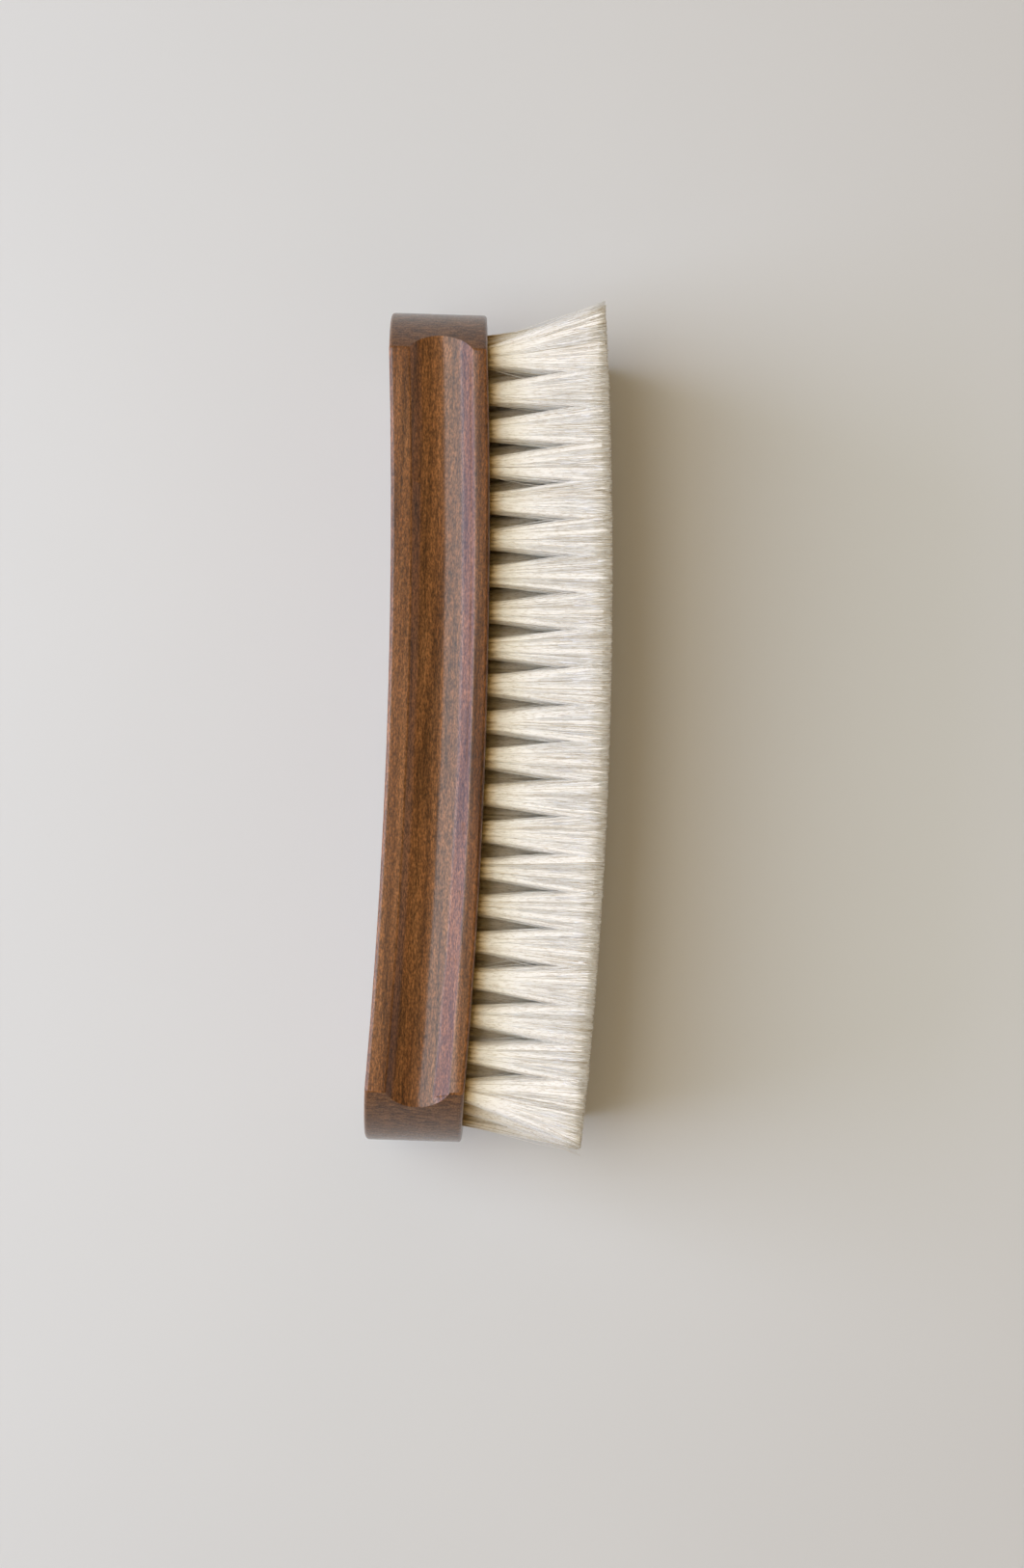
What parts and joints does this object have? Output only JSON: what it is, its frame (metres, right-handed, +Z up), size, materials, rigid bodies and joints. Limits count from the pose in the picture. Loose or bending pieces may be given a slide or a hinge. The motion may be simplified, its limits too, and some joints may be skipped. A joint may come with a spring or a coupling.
{
  "type": "hair brush with a curved wooden handle",
  "caption": "Bent wooden hand brush with finger grooves, rounded ends and rows of pale trimmed hair tufts wired into blind holes.",
  "frame": {"origin": "middle of the bottom of the whole brush, which lies on one grooved side of its handle", "axes": "+X from the hollow back of the handle to the hair tips, +Y along the brush, +Z up across its width"},
  "size_m": [0.049, 0.1804, 0.055],
  "materials": {
    "oiled_wood": "satin",
    "hair": "matte",
    "anchor_wire": "satin"
  },
  "bodies": {
    "root": {"anchor_wires_row_1": "anchor_wire", "anchor_wires_row_2": "anchor_wire", "anchor_wires_row_3": "anchor_wire", "anchor_wires_row_4": "anchor_wire", "anchor_wires_row_5": "anchor_wire", "handle_block": "oiled_wood", "tuft_line_01": "hair", "tuft_line_02": "hair", "tuft_line_03": "hair", "tuft_line_04": "hair", "tuft_line_05": "hair", "tuft_line_06": "hair", "tuft_line_07": "hair", "tuft_line_08": "hair", "tuft_line_09": "hair", "tuft_line_10": "hair", "tuft_line_11": "hair", "tuft_line_12": "hair", "tuft_line_13": "hair", "tuft_line_14": "hair", "tuft_line_15": "hair", "tuft_line_16": "hair", "tuft_line_17": "hair", "tuft_line_18": "hair", "tuft_line_19": "hair", "tuft_line_20": "hair", "tuft_line_21": "hair", "tuft_line_22": "hair", "tuft_line_23": "hair", "tuft_line_24": "hair", "tuft_line_25": "hair", "tuft_line_26": "hair", "tuft_line_27": "hair", "tuft_line_28": "hair", "tuft_line_29": "hair", "tuft_line_30": "hair", "tuft_line_31": "hair", "tuft_line_32": "hair", "tuft_line_33": "hair", "tuft_line_34": "hair", "tuft_line_35": "hair", "tuft_line_36": "hair", "tuft_line_37": "hair", "tuft_line_38": "hair", "tuft_line_39": "hair", "tuft_line_40": "hair", "tuft_line_41": "hair", "tuft_line_42": "hair", "tuft_line_43": "hair", "tuft_line_44": "hair", "tuft_line_45": "hair"}
  },
  "joints": []
}
